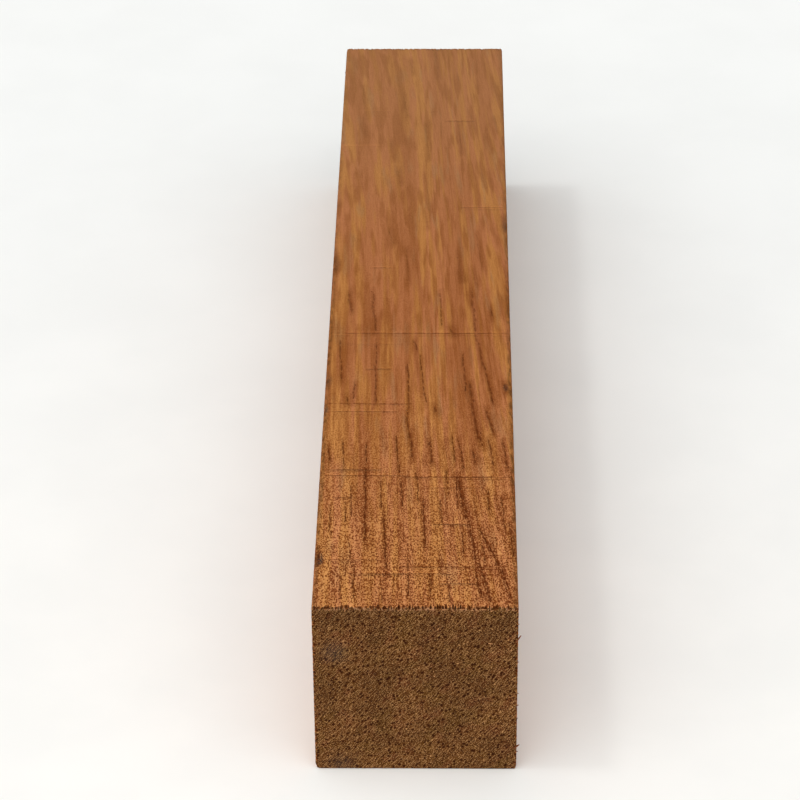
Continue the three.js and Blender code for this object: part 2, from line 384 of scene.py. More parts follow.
def long_grain(tree, finish, leaned, x, back, z, on_top):
    """Colour and height, in millimetres, of the faces sawn along the grain, and its gum's beads."""
    broad = streaks(tree, leaned, 1.9, 55.0, 2.0)
    ribbon = streaks(tree, leaned, 0.45, 17.0, 3.0)
    aside = add(tree, "ShaderNodeVectorMath", {0: leaned, 1: (40.0, 0.0, 17.0)})
    rosy = streaks(tree, aside, 1.0, 16.0, 2.0)
    hair = streaks(tree, leaned, 0.17, 2.4, 3.0)
    grit = streaks(tree, aside, 0.12, 0.23, 0.5)

    # Towards the back of the top face, the specks, the threads and the ribbons grow fainter.
    near = faded(tree, on_top, back, 3.0, 46.0, 0.0, -0.84)
    off_top = maths(tree, "SUBTRACT", 1.0, on_top)
    near = maths(tree, "MULTIPLY_ADD", off_top, -0.45, maths(tree, "ADD", near, 1.0))
    calm = maths(tree, "MULTIPLY_ADD", ramp(tree, back, 12.0, 70.0, 0.0, -0.88), on_top, 1.0)
    soft = maths(tree, "MULTIPLY_ADD", ramp(tree, back, 40.0, 90.0, 0.0, -0.7), on_top, 1.0)

    bands = times(tree, tone_bands(tree, leaned), on_top)
    rosy = maths(tree, "MULTIPLY_ADD", bands, 0.2, rosy)
    colour = blend(tree, ramp(tree, rosy, 0.43, 0.63), finish.golden, finish.pink)
    dusty = ramp(tree, streaks(tree, aside, 1.3, 9.0, 2.0), 0.56, 0.7, 0.0, 0.4)
    colour = blend(tree, dusty, colour, finish.dusty)
    colour = blend(tree, times(tree, bands, BAND_STRENGTH), colour, finish.brown)
    colour = blend(tree, ramp(tree, broad, 0.46, 0.66, 0.0, 0.4), colour, finish.brown)
    ribbon_tone = faded(tree, soft, ribbon, 0.46, 0.62, 0.0, 0.5)
    colour = blend(tree, ribbon_tone, colour, finish.brown)
    smear = ramp(tree, streaks(tree, aside, 0.9, 7.0, 1.0), 0.48, 0.66, 0.0, 0.6)
    smear = faded(tree, smear, back, 20.0, 60.0, 0.2, 1.0)
    smear = times(tree, smear, on_top)
    colour = blend(tree, smear, colour, finish.brown)
    threads = faded(tree, calm, hair, 0.38, 0.62, 0.0, 0.36)
    colour = blend(tree, threads, colour, finish.brown)

    # Open vessels: long thin cells of dark gum and painted shadow, stronger on the near part.
    wander = {"Vector": stretched(tree, leaned, 0.8, 2.5), "Scale": 1.0}
    wander = add(tree, "ShaderNodeTexNoise", wander, output=1)
    wander = add(tree, "ShaderNodeVectorMath", {0: wander, 1: (0.2, 0.0, 0.2)}, operation="MULTIPLY")
    bent = add(tree, "ShaderNodeVectorMath", {0: leaned, 1: wander}, operation="ADD")
    pitch = finish.vessel_pitch / MM
    long_cells = voronoi_cells(tree, stretched(tree, bent, pitch, 15.0), "3D")
    short_cells = voronoi_cells(tree, stretched(tree, bent, pitch * 0.5, 4.5), "3D")
    vessel = ramp(tree, long_cells, 0.2, 0.36, 1.0, 0.0)
    vessel = maths(tree, "MAXIMUM", vessel, ramp(tree, short_cells, 0.18, 0.38, 0.8, 0.0))
    patch = ramp(tree, streaks(tree, leaned, 2.2, 18.0), 0.38, 0.56, 0.3, 1.0)
    vessel = times(tree, vessel, patch)
    worn = ramp(tree, back, 10.0, 60.0, 0.0, -0.75)
    vessel = times(tree, vessel, maths(tree, "MULTIPLY_ADD", worn, on_top, 1.0))

    # Gum stains the wood beside a long vessel.
    stain = add(tree, "ShaderNodeAttribute", output="Fac", attribute_name="gum_stain")
    stain = faded(tree, stain, back, 20.0, 60.0, 1.0, 0.5)
    vessel = faded(tree, vessel, x, -7.0, 5.0, 0.34, 0.62)
    vessel = maths(tree, "MAXIMUM", vessel, stain)
    gritty = times(tree, grit, near)
    vessel = faded(tree, vessel, gritty, 0.2, 0.55, 1.1, 0.6)

    # The saw left dark specks and bright fibre ends, thickest in the vessels and in rows across,
    # and clearest on the near part. The bright ends' glints are painted highlights.
    rows = add(tree, "ShaderNodeVectorMath", {0: leaned, 1: (0.2, 3.2, 0.2)}, operation="MULTIPLY")
    rows = uneven_noise(tree, rows, 1.0, 1.0)
    weave = maths(tree, "MULTIPLY_ADD", hair, -0.3, grit)
    weave = maths(tree, "MULTIPLY_ADD", ribbon, -0.15, weave)
    weave = maths(tree, "MULTIPLY_ADD", rows, -0.15, weave)
    weave = maths(tree, "MULTIPLY_ADD", vessel, -0.12, weave)
    specks = times(tree, ramp(tree, weave, 0.03, 0.2, 1.0, 0.0, smooth=False), near)
    glints = times(tree, ramp(tree, weave, 0.16, 0.42, smooth=False), near)
    beads = ramp(tree, grit, 0.36, 0.52, 0.5, 1.0)

    colour = blend(tree, times(tree, vessel, GUM_STRENGTH), colour, finish.gum)
    colour = blend(tree, times(tree, glints, GLINT_STRENGTH), colour, finish.bright)
    colour = blend(tree, times(tree, specks, SPECK_STRENGTH), colour, finish.vessel)

    sawn = times(tree, saw_stains(tree, x, back), times(tree, on_top, SAW_STAIN_STRENGTH))
    colour = blend(tree, sawn, colour, finish.vessel)
    # The two upper long arrises are painted darker.
    edge_darkening = times(tree, arris_darkening(tree, leaned, x, back, z), ARRIS_DARKENING_STRENGTH)
    colour = blend(tree, edge_darkening, colour, finish.end_base)
    marks = times(tree, handling_marks(tree, x, back), on_top)
    marks = faded(tree, marks, grit, 0.35, 0.6, 1.0, 0.55)
    colour = blend(tree, marks, colour, finish.smudge)

    # The far part is duller, and it looks greyer towards its end.
    colour = blend(tree, ramp(tree, back, 50.0, 115.0, 0.0, 0.32), colour, finish.dusty)
    # Painted shade: the colour is brightened at the near end and darkened further back.
    colour = shaded(tree, colour, ramp(tree, back, 0.0, 55.0, 1.12, 0.855))

    height = times(tree, vessel, -FINE_DEPTH_MM)
    height = maths(tree, "MULTIPLY_ADD", specks, -FINE_DEPTH_MM, height)
    height = maths(tree, "MULTIPLY_ADD", hair, -FINE_DEPTH_MM, height)
    return colour, height, beads


# How much of the end grain's contrast is in its rays. The rest is in crumbs of torn fibre.
RAY_SHARE = 0.38

# Grey handling marks by the left arris of the near end, one high up and one at the foot: the middle
# of each, its reach in millimetres, and its strength.
END_SMUDGES = (((-7.9, 0.0, 14.5), 2.1, 0.55), ((-7.4, 0.0, 0.4), 2.3, 0.4))


def end_grain(tree, finish, x, z, back):
    """Colour and height, in millimetres, of the two sawn ends."""
    over, up = math.cos(RAY_ANGLE), math.sin(RAY_ANGLE)
    outward = maths(tree, "ADD", times(tree, x, over), times(tree, z, up))
    aside = times(tree, x, up)
    aside = maths(tree, "SUBTRACT", times(tree, z, over), aside)
    inward = times(tree, back, 0.5)
    plane = add(tree, "ShaderNodeCombineXYZ", {0: outward, 1: aside, 2: inward})

    def placed(size_out, size_aside, shift):
        scale = (1 / size_out, 1 / size_aside, 1.0)
        inputs = {0: plane, 1: scale, 2: (shift, shift * 1.7, 0.0)}
        return add(tree, "ShaderNodeVectorMath", inputs, operation="MULTIPLY_ADD")

    def cells(size_out, size_aside, shift):
        return voronoi_cells(tree, placed(size_out, size_aside, shift), "2D")

    def clouds(size_out, size_aside, shift, detail=2.0):
        return uneven_noise(tree, placed(size_out, size_aside, shift), 1.0, detail)

    olive = ramp(tree, clouds(3.2, 2.6, 3.0), 0.45, 0.65, 0.0, 0.6)
    red = ramp(tree, clouds(2.4, 1.6, 17.0), 0.5, 0.68, 0.0, 0.7)
    colour = blend(tree, olive, finish.end_base, finish.end_olive)
    colour = blend(tree, red, colour, finish.end_red)

    # Rays: fine light lines, broken into ticks, with dark fibre between them.
    ray = finish.ray_pitch / MM
    lines = clouds(ray * 3.6, ray * 0.38, 0.0, 0.0)
    crumbs = clouds(0.125, 0.11, 11.0, 0.0)
    light = times(tree, crumbs, 1 - RAY_SHARE)
    light = maths(tree, "MULTIPLY_ADD", lines, RAY_SHARE, light)
    rough = maths(tree, "ADD", 1.07, ramp(tree, x, 9.0, 9.6, 0.0, 0.4))
    pale = faded(tree, rough, light, 0.48, 0.66, 0.0, 0.85)
    colour = blend(tree, pale, colour, finish.end_ray)
    deep = faded(tree, rough, light, 0.32, 0.5, 0.85, 0.0)
    colour = blend(tree, deep, colour, finish.pore)

    pitch = finish.pore_pitch / MM
    size = clouds(1.2, 1.2, 31.0, 1.0)
    pores = cells(pitch * 1.1, pitch * 0.9, 5.0)
    pores = maths(tree, "ADD", pores, ramp(tree, size, 0.3, 0.7, -0.05, 0.12))
    pores = ramp(tree, pores, 0.155, 0.22, 1.0, 0.0)
    fine = ramp(tree, cells(pitch * 0.55, pitch * 0.45, 9.0), 0.16, 0.26, 1.0, 0.0)
    fine = faded(tree, fine, size, 0.45, 0.6, 0.0, 0.7)
    pores = maths(tree, "MAXIMUM", pores, fine)
    colour = blend(tree, pores, colour, finish.pore)
    # Sparse flecks in the bright fibre colour: painted glints.
    flecks = ramp(tree, cells(2.0, 1.4, 41.0), 0.03, 0.07, 1.0, 0.0)
    flecks = faded(tree, flecks, crumbs, 0.4, 0.5)
    colour = blend(tree, times(tree, flecks, 0.45), colour, finish.bright)

    # Pale fibres stand torn along the upper arris.
    fringe = add(tree, "ShaderNodeCombineXYZ", {0: x, 1: times(tree, z, 0.45)})
    fringe = uneven_noise(tree, fringe, 5.0, 1.0)
    fringe = ramp(tree, fringe, 0.48, 0.6, 0.0, 0.7)
    fringe = faded(tree, fringe, z, 19.45, 19.8)
    colour = blend(tree, fringe, colour, finish.fringe)

    # Uneven in patches, and painted a little lighter towards the foot, a painted gradient of light.
    shade = ramp(tree, z, 0.0, 20.0, 1.06, 0.93, smooth=False)
    shade = faded(tree, shade, clouds(4.5, 3.5, 23.0), 0.35, 0.65, 0.88, 1.12)
    colour = shaded(tree, colour, shade)

    for middle, reach, strength in END_SMUDGES:
        mark = add(tree, "ShaderNodeCombineXYZ", {0: x, 1: times(tree, back, 0.1), 2: z})
        mark = {0: mark, 1: middle}
        mark = add(tree, "ShaderNodeVectorMath", mark, output="Value", operation="DISTANCE")
        mark = ramp(tree, mark, 0.2, reach, strength, 0.0)
        mark = faded(tree, mark, lines, 0.3, 0.6, 1.0, 0.5)
        colour = blend(tree, mark, colour, finish.smudge)

    height = times(tree, pores, -PORE_DEPTH_MM)
    height = maths(tree, "MULTIPLY_ADD", light, 0.1, height)
    return colour, height


def sawn_sipo(finish):
    """Raw sipo, sawn and not sanded: matt, open-pored, golden brown with darker vessel lines.

    The long faces show open vessels and saw specks. The ends show pores and rays, and are much
    darker, because light sinks into the open cells there.
    """
    material, tree = new_material("sawn_sipo")
    leaned, x, back, z = grain_coordinates(tree)
    facing = add(tree, "ShaderNodeNewGeometry", output="Normal")
    facing = add(tree, "ShaderNodeSeparateXYZ", {0: facing}).node.outputs
    on_top = ramp(tree, facing[2], 0.5, 0.8)
    long_colour, long_height, beads = long_grain(tree, finish, leaned, x, back, z, on_top)
    end_colour, end_height = end_grain(tree, finish, x, z, back)

    to_end = maths(tree, "MINIMUM", back, maths(tree, "SUBTRACT", LENGTH / MM, back))
    is_end = ramp(tree, maths(tree, "ABSOLUTE", facing[1]), 0.62, 0.85)
    rim = ramp(tree, to_end, 0.1, 0.4, 1.0, 0.0)
    rim = times(tree, rim, maths(tree, "SUBTRACT", 1.0, on_top))
    is_end = maths(tree, "MAXIMUM", is_end, rim)
    colour = blend(tree, is_end, long_colour, end_colour)
    height = add(tree, "ShaderNodeMix", {0: is_end, 2: long_height, 3: end_height}, data_type="FLOAT")

    # Saw marks, open vessels, chips and teeth are painted darker at their floors: painted shade, with
    # dust.
    depth = add(tree, "ShaderNodeAttribute", output="Fac", attribute_name="pit_depth_mm")
    shadow = faded(tree, beads, depth, 0.028, 0.09, 0.0, 0.75)
    shadow = faded(tree, shadow, back, 12.0, 75.0, 1.0, 0.1)
    colour = blend(tree, shadow, colour, finish.vessel)
    # Painted shade, with darker torn fibre, deep in the teeth near both ends.
    torn_and_shaded = ramp(tree, depth, 0.05, 0.16, 0.0, 0.55)
    torn_and_shaded = faded(tree, torn_and_shaded, to_end, 0.5, 1.2, 1.0, 0.0)
    colour = blend(tree, torn_and_shaded, colour, finish.pore)

    bump = add(tree, "ShaderNodeBump", {"Height": height, "Strength": 1.0, "Distance": MM})
    shader = {
        "Base Color": colour,
        "Roughness": ramp(tree, long_height, -0.06, 0.05, 0.86, 0.68, smooth=False),
        "IOR": 1.5,
        "Specular IOR Level": 0.04,
        "Normal": bump,
    }
    shader = add(tree, "ShaderNodeBsdfPrincipled", shader)
    add_output(tree, shader)
    return material


def add_output(tree, shader):
    node = tree.nodes.new("ShaderNodeOutputMaterial")
    tree.links.new(shader, node.inputs["Surface"])


def torn_sipo(finish):
    """Loose fibres of the same wood: some thin and dark, some split clean and pale."""
    material, tree = new_material("torn_sipo")
    tone = add(tree, "ShaderNodeAttribute", output="Fac", attribute_name="tone")
    place = add(tree, "ShaderNodeTexCoord", output="Object")
    fleck = uneven_noise(tree, place, 1 / (0.1 * MM), 2.0)
    colour = blend(tree, tone, finish.vessel, finish.splinter)
    colour = blend(tree, ramp(tree, fleck, 0.4, 0.6, 0.0, 0.35), colour, finish.brown)
    shader = {"Base Color": colour, "Roughness": 0.75, "IOR": 1.5, "Specular IOR Level": 0.3}
    add_output(tree, add(tree, "ShaderNodeBsdfPrincipled", shader))
    return material


def white_card(stage):
    """Uncoated white card: quite matt, with a faint uneven whiteness, and painted whiter in front than
    behind, a painted gradient of light.
    """
    material, tree = new_material("white_card")
    place = add(tree, "ShaderNodeTexCoord", output="Object")
    pulp = uneven_noise(tree, place, 60.0, 4.0)
    y = add(tree, "ShaderNodeSeparateXYZ", {0: place}, output=1)
    colour = blend(tree, ramp(tree, y, -0.07, 0.06), stage.card, stage.card_shaded_behind)
    colour = blend(tree, ramp(tree, pulp, 0.3, 0.7, 0.0, 0.25), colour, stage.pulp)
    shader = {"Base Color": colour, "Roughness": 0.9, "Specular IOR Level": 0.1}
    add_output(tree, add(tree, "ShaderNodeBsdfPrincipled", shader))
    return material


def new_piece(name, bm, material):
    """Makes a mesh object from bm, links it to the scene and frees bm."""
    mesh = bpy.data.meshes.new(name)
    bm.to_mesh(mesh)
    bm.free()
    piece = bpy.data.objects.new(name, mesh)
    bpy.context.collection.objects.link(piece)
    mesh.materials.append(material)
    return piece


def corner_radius(shape, x, up):
    """The rounding of the long arris nearest to a point, given from the section's middle."""
    if up > 0:
        return shape.top_arris
    return shape.foot_right if x > 0 else shape.foot_left


def spread_to_arrises(value, half):
    """Crowds evenly spaced places towards both arrises, where the surface turns."""
    evenly = 0.6
    share = value / half
    return half * (evenly * share + (1 - evenly) * math.sin(share * math.pi / 2))


def eased_corner(shape, x, up):
    """Moves a point of the square section, given from its middle, on to the rounded section."""
    radius = corner_radius(shape, x, up)
    over_x = abs(x) - (HALF - radius)
    over_up = abs(up) - (HALF - radius)
    if over_x <= 0 or over_up <= 0:
        return x, up
    pull = max(over_x, over_up) / math.hypot(over_x, over_up)
    new_x = math.copysign(HALF - radius + over_x * pull, x)
    new_up = math.copysign(HALF - radius + over_up * pull, up)
    return new_x, new_up


def depth_below_skin(shape, place):
    """How far a point lies inside the rounded stick, in metres."""
    x, up = place.x, place.z - HALF
    radius = corner_radius(shape, x, up)
    over_x = abs(x) - (HALF - radius)
    over_up = abs(up) - (HALF - radius)
    outside = math.hypot(max(over_x, 0), max(over_up, 0))
    section_depth = radius - outside - min(max(over_x, over_up), 0)
    return min(section_depth, LENGTH / 2 - abs(place.y))


# The ridges' width and length, and the least depth that the surface sinks by, in millimetres.
RIDGE_WIDTH_MM = 0.5
RIDGE_LENGTH_MM = 14
SKIN_MM = 0.008


def fine_stick(shape):
    """A closed, finely cut stick with rounded arrises and low ridges along the grain."""
    bm = bmesh.new()
    bmesh.ops.create_cube(bm, size=1.0)
    for axis, cuts in ((0, shape.across), (2, shape.upright), (1, shape.along)):
        edges = [e for e in bm.edges if abs((e.verts[0].co - e.verts[1].co).normalized()[axis]) > 0.9]
        bmesh.ops.subdivide_edges(bm, edges=edges, cuts=cuts, use_grid_fill=True)
    for vert in bm.verts:
        x = spread_to_arrises(vert.co.x * SECTION, HALF)
        up = spread_to_arrises(vert.co.z * SECTION, HALF)
        x, up = eased_corner(shape, x, up)
        vert.co = (x, vert.co.y * LENGTH, up + HALF)
    bm.normal_update()

    # The ridges only sink into the stick, so it stays inside its box.
    thin = 1 / (RIDGE_WIDTH_MM * MM)
    ridge = Vector((thin, 1 / (RIDGE_LENGTH_MM * MM), thin))
    skin = SKIN_MM * MM
    sunk = []
    for vert in bm.verts:
        wave = noise.noise(vert.co * ridge) * 0.5 + 0.5
        sunk.append(vert.co - vert.normal * (skin + shape.relief * wave))
    for vert, place in zip(bm.verts, sunk):
        vert.co = place
    return bm


def cut_by_frame(piece):
    """Leaves only what lies inside the frame's solid, so its pits, teeth, bites and chips show."""
    solid = frame["nodes"][NODE]
    bm = bmesh.new()
    bm.from_mesh(solid.data)
    bm.transform(solid.matrix_world)
    bmesh.ops.remove_doubles(bm, verts=bm.verts, dist=1e-8)
    cutter = new_piece("cutter", bm, piece.data.materials[0])
    boolean = piece.modifiers.new("frame", "BOOLEAN")
    boolean.operation = "INTERSECT"
    boolean.solver = "MANIFOLD"
    boolean.object = cutter
    apply_modifiers(piece)
    bpy.data.objects.remove(cutter)


def apply_modifiers(piece):
    graph = bpy.context.evaluated_depsgraph_get()
    mesh = bpy.data.meshes.new_from_object(piece.evaluated_get(graph))
    piece.modifiers.clear()
    piece.data = mesh


def carve(piece, pits):
    """Cuts ellipsoids out of the piece. Each matrix in pits makes one of them from a unit ball."""
    bm = bmesh.new()
    bmesh.ops.create_uvsphere(bm, u_segments=8, v_segments=6, radius=1)
    ball = bpy.data.meshes.new("ball")
    bm.to_mesh(ball)
    bm.free()
    balls = bpy.data.collections.new("balls")
    bpy.context.scene.collection.children.link(balls)
    for pit in pits:
        cutter = bpy.data.objects.new("ball", ball)
        cutter.matrix_world = pit
        balls.objects.link(cutter)
    boolean = piece.modifiers.new("pits", "BOOLEAN")
    boolean.operation = "DIFFERENCE"
    boolean.solver = "MANIFOLD"
    boolean.operand_type = "COLLECTION"
    boolean.collection = balls
    apply_modifiers(piece)
    for cutter in list(balls.objects):
        bpy.data.objects.remove(cutter)
    bpy.data.collections.remove(balls)
    bpy.data.meshes.remove(ball)


# Open vessels of the top face, read in millimetres: the near tip's distance from the left
# arris and from the near end, the far tip's, and the width. The last ones are short dark pits.
TOP_VESSELS = (
    (4.9, 11.0, 4.7, 23.6, 0.42), (7.2, 4.8, 6.8, 15.2, 0.36), (4.1, 1.2, 3.9, 6.6, 0.34),
    (15.1, 14.6, 14.1, 22.0, 0.54), (16.0, 7.6, 15.2, 14.4, 0.5), (17.4, 16.0, 17.2, 19.4, 0.34),
    (18.2, 6.6, 16.4, 12.8, 0.48), (19.3, 1.0, 18.3, 6.2, 0.54), (10.9, 9.8, 10.7, 17.6, 0.34),
    (11.6, 2.0, 11.45, 5.3, 0.42), (16.05, 24.4, 15.8, 26.7, 0.34), (9.0, 30.6, 8.8, 34.4, 0.34),
    (16.3, 29.0, 15.5, 39.8, 0.46), (18.0, 30.0, 17.2, 34.5, 0.38), (5.5, 36.0, 5.3, 48.0, 0.3),
    (18.0, 35.6, 17.1, 43.4, 0.38), (17.0, 43.2, 16.2, 49.8, 0.4), (16.2, 50.2, 15.8, 58.8, 0.42),
    (5.2, 50.4, 4.7, 59.0, 0.4), (9.8, 46.2, 9.5, 48.2, 0.36), (14.7, 61.4, 14.3, 67.4, 0.44),
    (17.0, 64.0, 16.4, 71.8, 0.34), (8.7, 61.0, 8.4, 68.4, 0.34), (10.8, 90.0, 10.4, 98.6, 0.4),
    (14.8, 91.4, 14.4, 99.0, 0.4), (8.1, 101.0, 7.6, 106.4, 0.42), (1.5, 11.8, 1.3, 16.2, 0.28),
    (1.0, 25.0, 0.8, 27.4, 0.34), (13.2, 18.6, 13.0, 23.2, 0.26), (14.2, 16.8, 14.0, 21.2, 0.26),
    (8.6, 16.6, 8.4, 21.4, 0.26), (16.4, 1.4, 16.0, 5.4, 0.4), (17.3, 0.8, 16.2, 7.2, 0.5),
    (16.9, 7.2, 16.5, 10.4, 0.32), (14.7, 8.6, 14.6, 12.4, 0.26), (16.8, 27.6, 16.4, 30.4, 0.4),
    (11.6, 24.6, 11.2, 28.6, 0.34), (9.5, 25.4, 9.2, 30.4, 0.4), (19.3, 23.4, 18.9, 28.4, 0.34),
    (9.1, 34.6, 8.8, 43.6, 0.3), (10.8, 36.0, 10.1, 45.6, 0.3), (1.7, 40.4, 1.4, 48.6, 0.34),
    (3.0, 36.6, 3.3, 39.6, 0.34), (15.1, 38.0, 14.7, 45.6, 0.3), (12.5, 51.6, 12.2, 58.6, 0.32),
    (2.4, 54.6, 2.0, 58.6, 0.4), (6.8, 69.6, 6.4, 72.6, 0.44), (16.3, 60.6, 16.0, 63.6, 0.38),
    (7.5, 84.0, 7.2, 86.6, 0.44), (10.8, 73.4, 10.4, 77.6, 0.36), (3.0, 96.4, 2.7, 100.8, 0.36),
    (12.0, 111.4, 11.4, 119.0, 0.44), (8.7, 112.8, 8.3, 116.0, 0.44), (2.7, 104.4, 2.4, 108.8, 0.34),
    (13.4, 0.6, 13.3, 3.6, 0.22), (6.9, 0.4, 6.8, 3.2, 0.3), (9.4, 1.4, 9.3, 7.4, 0.24),
    (2.8, 1.0, 2.7, 5.4, 0.22), (3.6, 7.6, 3.4, 10.6, 0.24), (2.9, 14.0, 2.8, 18.0, 0.22),
    (3.5, 15.0, 3.3, 20.4, 0.22), (6.5, 16.2, 6.3, 21.4, 0.24), (12.6, 13.6, 12.4, 18.0, 0.22),
    (18.9, 12.6, 18.6, 18.2, 0.28), (19.6, 8.0, 19.3, 14.0, 0.32), (10.2, 17.6, 9.9, 22.8, 0.26),
    (2.5, 24.0, 2.2, 28.6, 0.24), (8.2, 22.6, 7.7, 29.6, 0.28), (17.9, 24.0, 17.4, 29.0, 0.3),
    (13.9, 24.6, 13.6, 29.6, 0.26), (14.8, 23.4, 14.3, 28.8, 0.26), (4.7, 24.6, 4.7, 28.0, 0.28),
    (19.3, 38.2, 19.2, 39.6, 0.5), (13.8, 49.9, 13.5, 51.0, 0.6), (14.8, 61.4, 14.5, 63.0, 0.66),
    (2.5, 36.0, 2.4, 37.2, 0.4), (12.0, 34.0, 11.8, 35.2, 0.44), (18.1, 53.4, 17.9, 55.2, 0.44),
    (0.5, 63.4, 0.3, 66.6, 0.6), (19.7, 72.6, 19.5, 75.6, 0.5), (0.4, 7.0, 0.3, 8.6, 0.6),
)
VESSEL_DEPTH_MM = 0.11

# Beyond this distance back the vessels look half as deep.
FAR_PART_MM = 60.0

VESSEL_LIFT_MM = 0.01

# Gum stains the wood out to this many widths of a vessel, most where it is this wide or wider, and
# down to this depth.
STAIN_REACH = 0.8
STAIN_FULL_WIDTH = 0.5
STAIN_DEPTH_MM = 0.3

# A vessel opens as a row of pits: their shortest and longest, how far aside of its line they lie and
# how wide they are, as shares of its width, and the gap from one to the next.
BEAD_MM = (0.6, 1.9)
HIDDEN_BEAD_MM = (1.2, 3.6)
BEAD_ASIDE = (-0.25, 0.25)
BEAD_WIDTH = (0.4, 0.8)
BEAD_GAP_MM = (-0.25, 0.2)

# The three long faces that the photograph doesn't show have vessels at random.
HIDDEN_VESSELS = 32
HIDDEN_LENGTH_MM = (3.0, 12.0)
HIDDEN_WIDTH_MM = (0.24, 0.42)
HIDDEN_LEAN = (-0.05, 0.0)
HIDDEN_SIDE_GAP_MM = 0.6
HIDDEN_END_GAP_MM = 0.5

# The saw broke small teeth out of the arrises of both ends, the longest along the near top arris.
# Sizes are in millimetres: the least reach, what chance adds at the near end and at the far end, and
# the limits of width and depth. A nick's three limits are across, along and up.
TEETH = 76
LEAST_TOOTH_MM = 0.12
LONGER_TOOTH_MM = {-1: 0.6, 1: 0.15}
TOOTH_WIDTH_MM = (0.03, 0.2)
TOOTH_DEPTH_MM = (0.12, 0.45)
NICKS = 44
NICK_MM = ((0.12, 0.42), (0.1, 0.4), (0.07, 0.24))

STICK_SEED = 20120
SHARP_EDGE = math.radians(32)


def quarter_turn(quarters):
    """Carries what lies on the top face to the right side, the foot or the left side."""
    middle = Matrix.Translation((0, 0, HALF))
    return middle @ Matrix.Rotation(quarters * math.pi / 2, 4, "Y") @ middle.inverted()


def vessel(near_x, near_y, far_x, far_y, wide):
    """The matrix of a long pit in the top face, from millimetres off the left arris and near end."""
    across, along = far_x - near_x, far_y - near_y
    middle = Vector(((near_x + far_x) / 2, (near_y + far_y) / 2, VESSEL_LIFT_MM)) * MM
    middle += Vector((-HALF, NEAR_END + TORN_EDGE_MM * MM, SECTION))
    turn = Matrix.Rotation(-math.atan2(across, along), 3, "Z").to_quaternion()
    deep = VESSEL_DEPTH_MM if far_y < FAR_PART_MM else VESSEL_DEPTH_MM / 2
    size = Vector((wide / 2, math.hypot(across, along) / 2, deep)) * MM
    return Matrix.LocRotScale(middle, turn, size)


def opened(line, draw, bead):
    """The pits of one vessel, each a little out of line and narrower than the vessel."""
    near_x, near_y, far_x, far_y, wide = line
    long = math.hypot(far_x - near_x, far_y - near_y)
    pits = []
    at = 0.0
    while at < long:
        end = min(at + draw.uniform(*bead), long)
        aside = draw.uniform(*BEAD_ASIDE) * wide
        x, far = [near_x + (far_x - near_x) * part / long + aside for part in (at, end)]
        y, far_end = [near_y + (far_y - near_y) * part / long for part in (at, end)]
        pits.append(vessel(x, y, far, far_end, wide * draw.uniform(*BEAD_WIDTH)))
        at = end + draw.uniform(*BEAD_GAP_MM)
        if end == long:
            break
    return pits


def top_vessels(draw):
    return [pit for line in TOP_VESSELS for pit in opened(line, draw, BEAD_MM)]


def hidden_vessels(draw):
    pits = []
    for quarters in (1, 2, 3):
        for _ in range(HIDDEN_VESSELS):
            long = draw.uniform(*HIDDEN_LENGTH_MM)
            x = draw.uniform(HIDDEN_SIDE_GAP_MM, SECTION / MM - HIDDEN_SIDE_GAP_MM)
            y = draw.uniform(HIDDEN_END_GAP_MM, LENGTH / MM - long - HIDDEN_END_GAP_MM)
            far_x = x + long * draw.uniform(*HIDDEN_LEAN)
            line = (x, y, far_x, y + long, draw.uniform(*HIDDEN_WIDTH_MM))
            pits += [quarter_turn(quarters) @ pit for pit in opened(line, draw, HIDDEN_BEAD_MM)]
    return pits


def top_saw_marks():
    pits = []
    for back, start, end, wide in TOP_SAW_MARKS:
        middle = Vector(((start + end) / 2, back + TORN_EDGE_MM, 0.0)) * MM
        middle += Vector((-HALF, NEAR_END, SECTION))
        size = Vector(((end - start) / 2, wide / 2, SAW_MARK_DEPTH_MM)) * MM
        pits.append(Matrix.LocRotScale(middle, None, size))
    return pits


def torn_arrises(draw):
    """Narrow teeth back over the top face at both ends, and nicks down the upright arrises."""
    pits = []
    for end in (-1, 1):
        for i in range(TEETH):
            x = (i + draw.uniform(-0.4, 1.4)) / TEETH * SECTION - HALF
            reach = LEAST_TOOTH_MM + LONGER_TOOTH_MM[end] * draw.random() ** 2
            size = Vector((draw.uniform(*TOOTH_WIDTH_MM), reach, draw.uniform(*TOOTH_DEPTH_MM)))
            place = Vector((x, end * LENGTH / 2, SECTION))
            pits.append(Matrix.LocRotScale(place, None, size * MM))
        for side in (-1, 1):
            for i in range(NICKS):
                z = (i + draw.uniform(0.1, 0.9)) / NICKS * SECTION
                size = Vector([draw.uniform(*limits) for limits in NICK_MM])
                place = Vector((side * HALF, end * LENGTH / 2, z))
                pits.append(Matrix.LocRotScale(place, None, size * MM))
    return pits


def gum_stain(x, y):
    """How strongly the gum of the nearest vessel stains the top face at a place, from 0 to 1."""
    strongest = 0.0
    for near_x, near_y, far_x, far_y, wide in TOP_VESSELS:
        if not near_y - 1 < y < far_y + 1:
            continue
        part = min(max((y - near_y) / (far_y - near_y), 0.0), 1.0)
        aside = x - (near_x + (far_x - near_x) * part)
        beyond = y - (near_y + (far_y - near_y) * part)
        reach = STAIN_REACH * wide
        strongest = max(strongest, wide * math.exp(-(aside / reach) ** 2 - beyond ** 2))
    return min(strongest / STAIN_FULL_WIDTH, 1.0)


def mark_depths(piece, shape):
    """Stores each point's depth below the stick's skin and how near it lies to a long vessel."""
    mesh = piece.data
    depths = mesh.attributes.new("pit_depth_mm", "FLOAT", "POINT")
    stains = mesh.attributes.new("gum_stain", "FLOAT", "POINT")
    for vert in mesh.vertices:
        depths.data[vert.index].value = depth_below_skin(shape, vert.co) / MM
        if vert.co.z > SECTION - STAIN_DEPTH_MM * MM:
            x, y = (vert.co.x + HALF) / MM, (vert.co.y - NEAR_END) / MM - TORN_EDGE_MM
            stains.data[vert.index].value = gum_stain(x, y)


